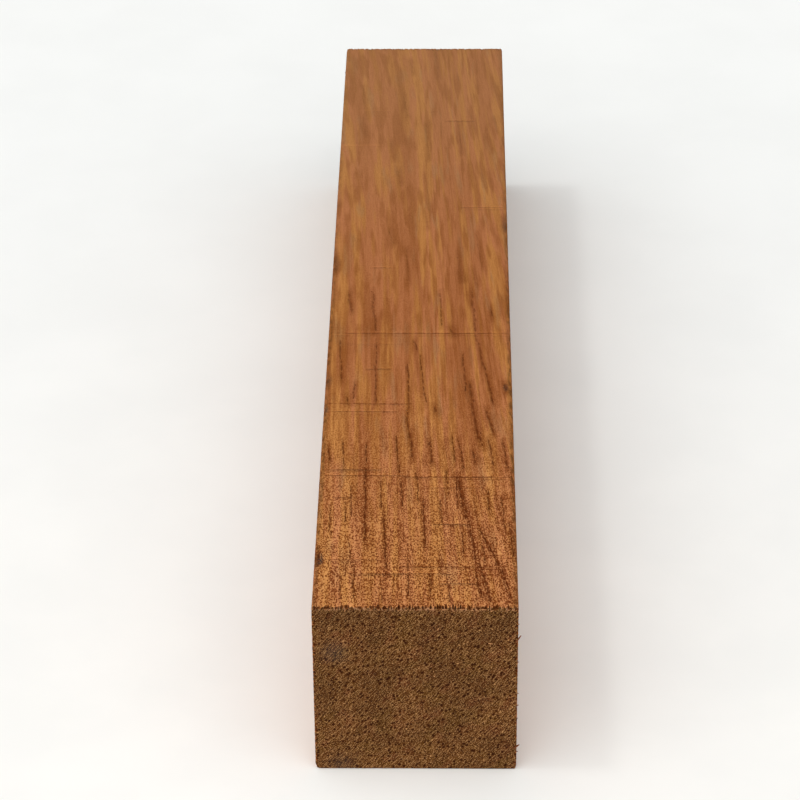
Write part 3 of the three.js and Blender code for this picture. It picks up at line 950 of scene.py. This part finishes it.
def unwrap(piece):
    """Lays the four long faces side by side, with the two ends in a fifth column."""
    mesh = piece.data
    layer = mesh.uv_layers.new(name="OFBake")
    spare = 1.03
    sheet = LENGTH * spare
    column = sheet / 5
    margin = (column - SECTION) / 2
    for face in mesh.polygons:
        centre = face.center
        up = centre.z - HALF
        gaps = [HALF - up, HALF - centre.x, HALF + up, HALF + centre.x]
        gaps += [LENGTH / 2 + centre.y, LENGTH / 2 - centre.y]
        side = gaps.index(min(gaps))
        for corner in face.loop_indices:
            place = mesh.vertices[mesh.loops[corner].vertex_index].co
            x, y, z = place.x + HALF, place.y - NEAR_END, place.z
            left_to_right = (x, SECTION - z, SECTION - x, z, x, SECTION - x)[side]
            foot_to_head = (y, y, y, y, z, z + SECTION + 2 * margin)[side]
            u = min(side, 4) * column + margin + left_to_right
            layer.data[corner].uv = (u / sheet, (margin / 2 + foot_to_head) / sheet)


class PENBLANK_OT_stick(bpy.types.Operator):
    """Adds the sawn stick, finely meshed, in place of the frame's solid"""

    bl_idname = "penblank.stick"
    bl_label = "Sawn Stick"

    def execute(self, context):
        shape = context.scene.penblank_shape
        piece = new_piece("sipo_stick", fine_stick(shape), sawn_sipo(context.scene.penblank_finish))
        cut_by_frame(piece)
        draw = random.Random(STICK_SEED)
        carve(piece, top_vessels(draw) + top_saw_marks() + hidden_vessels(draw) + torn_arrises(draw))
        mark_depths(piece, shape)
        unwrap(piece)
        piece.data.shade_smooth()
        piece.data.set_sharp_from_angle(angle=SHARP_EDGE)
        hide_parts(NODE)
        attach(piece, BODY)
        return {"FINISHED"}


# A splinter's thickness one way, as a share of its thickness the other way.
FLATNESS = 0.6


def sliver(bm, tones, root, way, long, thick, curl, tone):
    """A flat, curling splinter from root along way, thin at its tip. tone: 0 dark to 1 pale."""
    turn = way.to_track_quat("Z", "X").to_matrix().to_4x4()
    first = len(bm.verts)
    bmesh.ops.create_cone(
        bm, cap_ends=True, segments=6, radius1=thick / 2, radius2=thick / 6, depth=long,
        matrix=Matrix.Translation((0, 0, long / 2)),
    )
    bm.verts.ensure_lookup_table()
    sides = dict.fromkeys(e for v in bm.verts[first:] for e in v.link_edges)
    sides = [e for e in sides if abs(e.verts[0].co.z - e.verts[1].co.z) > long / 2]
    bmesh.ops.subdivide_edges(bm, edges=sides, cuts=3)
    bm.verts.ensure_lookup_table()
    verts = bm.verts[first:]
    for vert in verts:
        share = vert.co.z / long
        vert.co.x = vert.co.x * FLATNESS + curl * share * share
        vert.co = Matrix.Translation(root) @ turn @ vert.co
        vert.co.y = max(min(vert.co.y, LENGTH / 2), -LENGTH / 2)
    for face in {f for v in verts for f in v.link_faces}:
        face[tones] = tone


# Splinters on the near right and far left arrises, in millimetres and degrees: height above the foot,
# reach past the side, lean up from level. They are rooted this far inside the side and the end.
SIDE_SPLINTERS = (
    (15.75, 0.27, 58), (13.2, 0.08, 20), (9.6, 0.1, -30), (7.9, 0.14, 15), (6.1, 0.09, 40),
    (2.6, 0.27, 40), (2.2, 0.12, -10), (17.9, 0.08, 0),
)
ROOT_MM = 0.25
ROOT_FROM_END_MM = 0.18
TOWARDS_END = 0.12
THINNEST_MM = 0.14
THICKER_PER_REACH = 0.9
CURL_MM = 0.03

# Pale splinters that lie on the ends: distance from the left arris, height, length, lean, paleness.
END_SPLINTERS = (
    (17.1, 15.7, 0.45, -12, 1.0), (12.2, 17.3, 0.25, 70, 0.9), (11.8, 11.6, 0.2, 30, 0.9),
    (1.7, 19.6, 0.22, 60, 0.8), (10.2, 19.7, 0.3, 14, 0.5), (11.3, 19.76, 0.5, -3, 0.6),
    (12.6, 19.72, 0.6, 2, 0.7), (13.6, 19.62, 0.3, -14, 0.6), (14.3, 19.74, 0.5, 3, 0.7),
    (15.4, 19.7, 0.3, -16, 0.9), (16.4, 19.76, 0.5, -3, 0.8), (17.3, 19.55, 0.3, 24, 1.0),
    (19.3, 14.8, 0.24, 80, 0.8), (19.5, 11.2, 0.22, 85, 0.8), (9.1, 19.6, 0.25, 40, 0.6),
    (3.2, 19.5, 0.25, 65, 0.6), (5.6, 19.6, 0.3, 20, 0.5),
)
END_SPLINTER_MM = 0.2
END_ROOT_MM = 0.03

FIBRE_SEED = 7


class PENBLANK_OT_fibres(bpy.types.Operator):
    """Adds the fibres that the blade tore at the arrises of the two ends"""

    bl_idname = "penblank.fibres"
    bl_label = "Torn Fibres"

    def execute(self, context):
        bm = bmesh.new()
        tones = bm.faces.layers.float.new("tone")
        draw = random.Random(FIBRE_SEED)
        for end in (1, -1):
            for up, reach, lean in SIDE_SPLINTERS:
                lean = math.radians(lean)
                way = Vector((end * math.cos(lean), -end * TOWARDS_END, math.sin(lean)))
                root_y = end * (NEAR_END + ROOT_FROM_END_MM * MM)
                root = Vector((end * (HALF - ROOT_MM * MM), root_y, up * MM))
                long = (ROOT_MM + reach) / math.cos(lean) * MM
                thick = (THINNEST_MM + THICKER_PER_REACH * reach) * MM
                tone = draw.uniform(0.0, 0.2)
                sliver(bm, tones, root, way, long, thick, CURL_MM * MM, tone)
            for x, up, long, lean, tone in END_SPLINTERS:
                lean = math.radians(lean)
                way = Vector((end * math.cos(lean), 0.0, math.sin(lean)))
                root_y = end * (NEAR_END + END_ROOT_MM * MM)
                root = Vector((end * (x * MM - HALF), root_y, up * MM))
                sliver(bm, tones, root, way, long * MM, END_SPLINTER_MM * MM, 0.0, tone)
        piece = new_piece("torn_fibres", bm, torn_sipo(context.scene.penblank_finish))
        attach(piece, BODY)
        return {"FINISHED"}


def add_floor(stage):
    half_width = 1.5
    gap = 0.02 * MM
    bm = bmesh.new()
    bmesh.ops.create_grid(bm, x_segments=1, y_segments=1, size=half_width)
    bmesh.ops.translate(bm, verts=bm.verts, vec=(0, 0, -gap))
    floor = new_piece("floor", bm, white_card(stage))


def add_lights(stage):
    """A white tent all round, brighter on the left, in front and above, and a weak key light."""
    key = bpy.data.lights.new("key", "SUN")
    key.energy = stage.key_strength
    key.angle = stage.key_spread
    lamp = bpy.data.objects.new("key", key)
    away = Vector((-math.cos(stage.key_height), 0.0, math.sin(stage.key_height)))
    lamp.rotation_mode = "QUATERNION"
    lamp.rotation_quaternion = away.to_track_quat("Z", "Y")
    bpy.context.collection.objects.link(lamp)

    world = bpy.data.worlds.new("light_tent")
    world.use_nodes = True
    tree = world.node_tree
    way = add(tree, "ShaderNodeTexCoord", output="Generated")
    lean = {0: way, 1: tuple(stage.tent_lean)}
    lean = add(tree, "ShaderNodeVectorMath", lean, output="Value", operation="DOT_PRODUCT")
    base = stage.tent_strength * stage.tent_base
    strength = maths(tree, "MULTIPLY_ADD", lean, stage.tent_strength, base)
    strength = maths(tree, "MAXIMUM", strength, 0.0)
    background = tree.nodes["Background"]
    background.inputs["Color"].default_value = (1.0, 1.0, 1.0, 1.0)
    tree.links.new(strength, background.inputs["Strength"])
    bpy.context.scene.world = world


def add_camera():
    data = bpy.data.cameras.new("camera")
    data.sensor_width = SENSOR_MM
    data.lens = FOCAL_PIXELS / IMAGE_PIXELS * SENSOR_MM
    data.clip_start = 0.01
    data.clip_end = 10.0
    camera = bpy.data.objects.new("camera", data)
    turn = Matrix.Rotation(CAMERA_YAW, 4, "Z") @ Matrix.Rotation(CAMERA_TILT, 4, "X")
    camera.matrix_world = Matrix.Translation(CAMERA_PLACE) @ turn @ Matrix.Rotation(CAMERA_ROLL, 4, "Z")
    bpy.context.collection.objects.link(camera)
    bpy.context.scene.camera = camera


class PENBLANK_OT_stage(bpy.types.Operator):
    """Adds the white card, the light tent with its key light, and the camera"""

    bl_idname = "penblank.stage"
    bl_label = "Stage"

    def execute(self, context):
        stage = context.scene.penblank_stage
        add_floor(stage)
        add_lights(stage)
        add_camera()
        context.scene.view_settings.view_transform = "Standard"
        return {"FINISHED"}


class PENBLANK_PT_panel(bpy.types.Panel):
    """Sizes, colours and light of the pen blank"""

    bl_label = "Pen Blank"
    bl_space_type = "VIEW_3D"
    bl_region_type = "UI"
    bl_category = "Pen Blank"

    def draw(self, context):
        scene = context.scene
        for settings in (scene.penblank_shape, scene.penblank_finish, scene.penblank_stage):
            box = self.layout.box()
            for name in settings.__annotations__:
                box.prop(settings, name)
        for operator in OPERATORS:
            self.layout.operator(operator.bl_idname)


SETTINGS = {
    "penblank_shape": StickShape,
    "penblank_finish": WoodFinish,
    "penblank_stage": StageSettings,
}
OPERATORS = (PENBLANK_OT_stick, PENBLANK_OT_fibres, PENBLANK_OT_stage)


def register():
    for kind in (*SETTINGS.values(), *OPERATORS, PENBLANK_PT_panel):
        bpy.utils.register_class(kind)
    for name, kind in SETTINGS.items():
        setattr(bpy.types.Scene, name, PointerProperty(type=kind))


def unregister():
    for name in SETTINGS:
        delattr(bpy.types.Scene, name)
    for kind in (PENBLANK_PT_panel, *OPERATORS, *SETTINGS.values()):
        bpy.utils.unregister_class(kind)


def main():
    register()
    bpy.ops.penblank.stage()
    bpy.ops.penblank.stick()
    bpy.ops.penblank.fibres()


if __name__ == "__main__":
    main()
